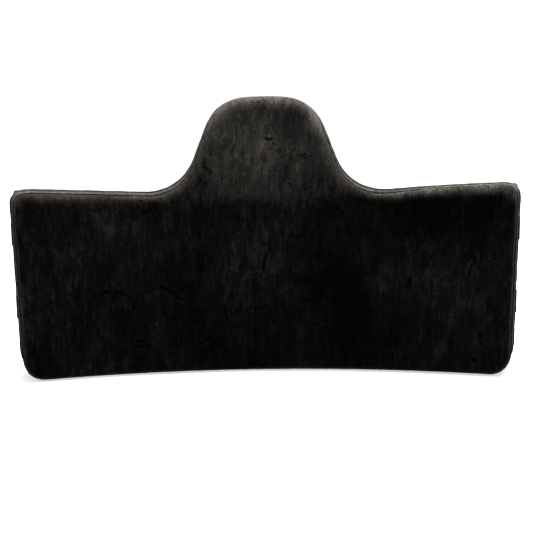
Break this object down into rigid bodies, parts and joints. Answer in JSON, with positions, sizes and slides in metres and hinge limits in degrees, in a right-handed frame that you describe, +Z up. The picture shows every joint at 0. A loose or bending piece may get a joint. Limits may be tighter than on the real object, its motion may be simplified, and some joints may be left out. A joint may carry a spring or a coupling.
{
  "type": "chair headrest attachment",
  "caption": "Curved foam head and shoulder pad in a zipped black plush cover, with a raised dome for the head and two buckled elastic straps that go round a chair's back.",
  "frame": {"origin": "bottom centre of the object's box, on the surface that the pad stands on", "axes": "+X along the pad's length, to the right as the face is seen; +Y from the face to the back; +Z up"},
  "size_m": [0.5642, 0.104, 0.3053],
  "materials": {
    "plush_cover": "short-pile black plush",
    "piping": "slim piping in the cover's plush",
    "memory_foam": "soft open-cell foam",
    "support_foam": "firm open-cell foam",
    "stiffener_board": "fine-grained polypropylene board",
    "zip_tape": "woven tape",
    "zip_coil": "satin nylon",
    "zip_metal": "semi-gloss black enamel",
    "webbing": "elastic ribbed webbing",
    "buckle_plastic": "fine-textured acetal"
  },
  "bodies": {
    "root": {"front_panel": "plush_cover", "boxing_top_strip": "plush_cover", "boxing_side_strip": "plush_cover", "back_panel_upper": "plush_cover", "back_panel_lower": "plush_cover", "front_welt": "piping", "back_welt": "piping", "face_foam": "memory_foam", "core_foam": "support_foam", "stiffener_board": "stiffener_board", "rear_foam": "support_foam", "zip_tape_upper": "zip_tape", "zip_coil_upper": "zip_coil", "zip_tape_lower": "zip_tape", "zip_coil_lower": "zip_coil", "zip_top_stops": "zip_coil", "zip_bottom_stop": "zip_coil", "upper_strap_tab_socket": "webbing", "upper_strap_tab_plug": "webbing", "lower_strap_tab_socket": "webbing", "lower_strap_tab_plug": "webbing"},
    "zip_slider": {"zip_slider": "zip_metal"},
    "zip_pull": {"zip_pull": "zip_metal"},
    "upper_socket_strap": {"upper_strap_web_socket": "webbing", "upper_buckle_socket": "buckle_plastic"},
    "upper_plug_strap": {"upper_strap_web_plug": "webbing", "upper_buckle_plug": "buckle_plastic"},
    "upper_latch_top": {"upper_latch_arm_top": "buckle_plastic"},
    "upper_latch_bottom": {"upper_latch_arm_bottom": "buckle_plastic"},
    "upper_keeper": {"upper_strap_keeper": "buckle_plastic"},
    "lower_socket_strap": {"lower_strap_web_socket": "webbing", "lower_buckle_socket": "buckle_plastic"},
    "lower_plug_strap": {"lower_strap_web_plug": "webbing", "lower_buckle_plug": "buckle_plastic"},
    "lower_latch_top": {"lower_latch_arm_top": "buckle_plastic"},
    "lower_latch_bottom": {"lower_latch_arm_bottom": "buckle_plastic"},
    "lower_keeper": {"lower_strap_keeper": "buckle_plastic"}
  },
  "joints": [
    {"name": "zip_slide", "type": "hinge", "parent": "root", "child": "zip_slider", "pos_m": [0, -0.90397, 0.03], "axis": [0, 0, 1], "range_deg": [0, 24.6]},
    {"name": "zip_pull_swing", "type": "hinge", "parent": "zip_slider", "child": "zip_pull", "pos_m": [0.20229, 0.02383, 0.03], "axis": [0, 0, -1], "range_deg": [0, 175]},
    {"name": "upper_socket_strap_swing", "type": "hinge", "parent": "root", "child": "upper_socket_strap", "pos_m": [-0.26, 0.00877, 0.158], "axis": [0, 0, 1], "range_deg": [0, 150]},
    {"name": "upper_plug_strap_swing", "type": "hinge", "parent": "root", "child": "upper_plug_strap", "pos_m": [0.26, 0.00877, 0.158], "axis": [0, 0, -1], "range_deg": [0, 150]},
    {"name": "upper_latch_top_squeeze", "type": "hinge", "parent": "upper_plug_strap", "child": "upper_latch_top", "pos_m": [0.04458, 0.0473, 0.1682], "axis": [-0.0516, -0.9987, 0], "range_deg": [0, 12], "stiffness_Nm_per_rad": 0.2},
    {"name": "upper_latch_bottom_squeeze", "type": "hinge", "parent": "upper_plug_strap", "child": "upper_latch_bottom", "pos_m": [0.04458, 0.0473, 0.1478], "axis": [0.0516, 0.9987, 0], "range_deg": [0, 12], "stiffness_Nm_per_rad": 0.2},
    {"name": "upper_keeper_slide", "type": "hinge", "parent": "upper_plug_strap", "child": "upper_keeper", "pos_m": [0, -0.90397, 0.158], "axis": [0, 0, 1], "range_deg": [-1.2, 1.2]},
    {"name": "lower_socket_strap_swing", "type": "hinge", "parent": "root", "child": "lower_socket_strap", "pos_m": [-0.26, 0.00877, 0.076], "axis": [0, 0, 1], "range_deg": [0, 150]},
    {"name": "lower_plug_strap_swing", "type": "hinge", "parent": "root", "child": "lower_plug_strap", "pos_m": [0.26, 0.00877, 0.076], "axis": [0, 0, -1], "range_deg": [0, 150]},
    {"name": "lower_latch_top_squeeze", "type": "hinge", "parent": "lower_plug_strap", "child": "lower_latch_top", "pos_m": [0.04458, 0.0473, 0.0862], "axis": [-0.0516, -0.9987, 0], "range_deg": [0, 12], "stiffness_Nm_per_rad": 0.2},
    {"name": "lower_latch_bottom_squeeze", "type": "hinge", "parent": "lower_plug_strap", "child": "lower_latch_bottom", "pos_m": [0.04458, 0.0473, 0.0658], "axis": [0.0516, 0.9987, 0], "range_deg": [0, 12], "stiffness_Nm_per_rad": 0.2},
    {"name": "lower_keeper_slide", "type": "hinge", "parent": "lower_plug_strap", "child": "lower_keeper", "pos_m": [0, -0.90397, 0.076], "axis": [0, 0, 1], "range_deg": [-1.2, 1.2]}
  ],
  "couplings": [
    {"joint": "upper_latch_bottom_squeeze", "follows": "upper_latch_top_squeeze", "ratio": 1},
    {"joint": "lower_latch_bottom_squeeze", "follows": "lower_latch_top_squeeze", "ratio": 1}
  ]
}
